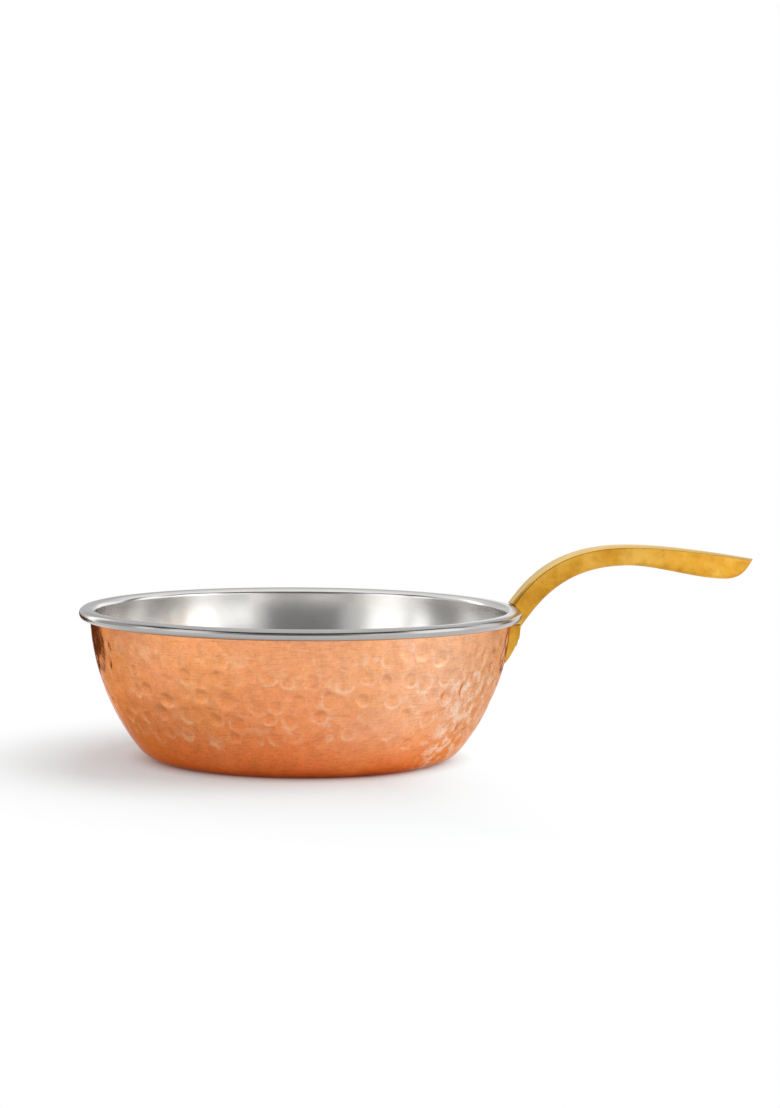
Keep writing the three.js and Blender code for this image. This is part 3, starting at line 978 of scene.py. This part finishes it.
def make_lamp():
    """A square lamp above the handle's side. Reflections show the tent instead."""
    light = bpy.data.lights.new("key_light", "AREA")
    light.size = LAMP_SIZE
    light.energy = LAMP_RADIANCE * math.pi * LAMP_SIZE**2
    lamp = bpy.data.objects.new("key_light", light)
    rise = math.radians(LAMP_ELEVATION)
    towards = math.cos(rise) * heading(LAMP_AZIMUTH) + Vector((0, 0, math.sin(rise)))
    lamp.location = CAMERA_POINT + LAMP_DISTANCE * towards
    lamp.rotation_euler = towards.to_track_quat("Z", "Y").to_euler()
    lamp.visible_glossy = False
    bpy.context.scene.collection.objects.link(lamp)


def only_reflected(thing, name, colour):
    """Gives an object a glow that shows in reflections only and lights nothing else. Returns the nodes of
    its material and the glow."""
    thing.visible_camera = False
    thing.visible_diffuse = False
    thing.visible_transmission = False
    thing.visible_shadow = False
    material, tree, shader = new_material(name)
    tree.nodes.remove(shader)
    glow = add(tree, "ShaderNodeEmission", {"Color": colour, "Strength": 1.0})
    tree.links.new(glow.outputs[0], tree.nodes["Material Output"].inputs["Surface"])
    material.cycles.emission_sampling = "NONE"
    thing.data.materials.append(material)
    return tree, glow


def soft_panel(tree, azimuth, elevation, middle, half, soft):
    """One inside a panel of the tent, zero outside it, with soft edges. The panel is given in degrees."""
    masks = []
    for socket, centre, reach, edge in zip((azimuth, elevation), middle, half, soft):
        off = maths(tree, "SUBTRACT", socket, math.radians(centre))
        off = maths(tree, "ABSOLUTE", maths(tree, "WRAP", off, math.pi, -math.pi))
        limits = (math.radians(reach), math.radians(reach + edge))
        masks.append(spread_over(tree, off, *limits, low=1.0, high=0.0, kind="SMOOTHSTEP"))
    return maths(tree, "MULTIPLY", *masks)


def make_tent():
    """A grey studio tent with soft bright and dark panels. It is dark to rays that a dull surface has
    scattered."""
    rings = TENT_SIDES // 2
    bpy.ops.mesh.primitive_uv_sphere_add(segments=TENT_SIDES, ring_count=rings, radius=TENT_RADIUS)
    tent = bpy.context.object
    tent.name = "studio_tent"
    tree, glow = only_reflected(tent, "studio_tent", WHITE)
    parts = parts_of(tree, direction(tree, object_place(tree)))
    azimuth = maths(tree, "ARCTAN2", parts["X"], maths(tree, "MULTIPLY", parts["Y"], -1.0))
    elevation = maths(tree, "ARCSINE", parts["Z"])
    level = TENT_GREY
    for panel_level, middle, half, soft in TENT_PANELS:
        mask = soft_panel(tree, azimuth, elevation, middle, half, soft)
        step = maths(tree, "SUBTRACT", panel_level, level)
        level = maths(tree, "ADD", level, maths(tree, "MULTIPLY", mask, step))
    bounces = add(tree, "ShaderNodeLightPath").outputs["Diffuse Depth"]
    first_look = maths(tree, "LESS_THAN", bounces, 0.5)
    tree.links.new(maths(tree, "MULTIPLY", level, first_look), glow.inputs["Strength"])


def make_flag(azimuths, colour):
    """A dark upright card round a part of the pan."""
    vertices = []
    for i in range(FLAG_STEPS + 1):
        place = FLAG_RADIUS * heading(azimuths[0] + (azimuths[1] - azimuths[0]) * i / FLAG_STEPS)
        vertices += [(place.x, place.y, height) for height in FLAG_HEIGHTS]
    faces = [(2 * i, 2 * i + 2, 2 * i + 3, 2 * i + 1) for i in range(FLAG_STEPS)]
    flag = make_object("studio_flag", vertices, faces)
    only_reflected(flag, "studio_flag", colour)


def make_camera():
    """A camera that shows the point on the pan's axis at its pixel and in its scale."""
    sine, cosine = math.sin(CAMERA_AZIMUTH), math.cos(CAMERA_AZIMUTH)
    flat = math.cos(CAMERA_ELEVATION)
    back = Vector((sine * flat, -cosine * flat, math.sin(CAMERA_ELEVATION)))
    right = Vector((cosine, sine, 0))
    up = back.cross(right)
    middle_right = (PICTURE[0] / 2 - POINT_PIXEL[0]) / PIXELS_PER_METRE
    middle_up = (POINT_PIXEL[1] - PICTURE[1] / 2) / PIXELS_PER_METRE
    lens = bpy.data.cameras.new("camera")
    lens.sensor_width = SENSOR
    lens.lens = PIXELS_PER_METRE * CAMERA_DISTANCE * SENSOR / PICTURE[1]
    camera = bpy.data.objects.new("camera", lens)
    place = CAMERA_POINT + CAMERA_DISTANCE * back
    aim = CAMERA_POINT + middle_right * right + middle_up * up
    camera.location = place
    turn = (place - aim).to_track_quat("Z", "Y").to_matrix() @ Matrix.Rotation(CAMERA_ROLL, 3, "Z")
    camera.rotation_euler = turn.to_euler()
    bpy.context.scene.collection.objects.link(camera)
    bpy.context.scene.camera = camera


def dress(piece, node, material):
    piece.data.materials.clear()
    piece.data.materials.append(material)
    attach(piece, "root")
    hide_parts(node)


bpy.context.scene.view_settings.view_transform = "Standard"
make_camera()
make_world()
make_floor()
make_tent()
for flag_azimuths, flag_colour in FLAGS:
    make_flag(flag_azimuths, flag_colour)
make_lamp()

bowl_steel = steel_material("polished_steel", BOWL_COLOUR, BOWL_ROUGHNESS, RIM_SHADE_LEVEL)
rivet_steel = steel_material("rivet_steel", RIVET_COLOUR, RIVET_ROUGHNESS)
shell = shaded_smooth(drilled(make_shell()), SHELL_SHARP)
dress(shell, "copper_shell", copper_material())
bowl = shaded_smooth(drilled(make_bowl()), BOWL_SHARP)
dress(bowl, "steel_bowl", bowl_steel)
handle = shaded_smooth(make_handle(), HANDLE_SHARP)
dress(handle, "brass_handle", brass_material())
for rivet_node, rivet_sideways in (("rivet_left", RIVET_SIDEWAYS), ("rivet_right", -RIVET_SIDEWAYS)):
    rivet = shaded_smooth(make_rivet(rivet_node + "_turned", rivet_sideways), RIVET_SHARP)
    dress(rivet, rivet_node, rivet_steel)
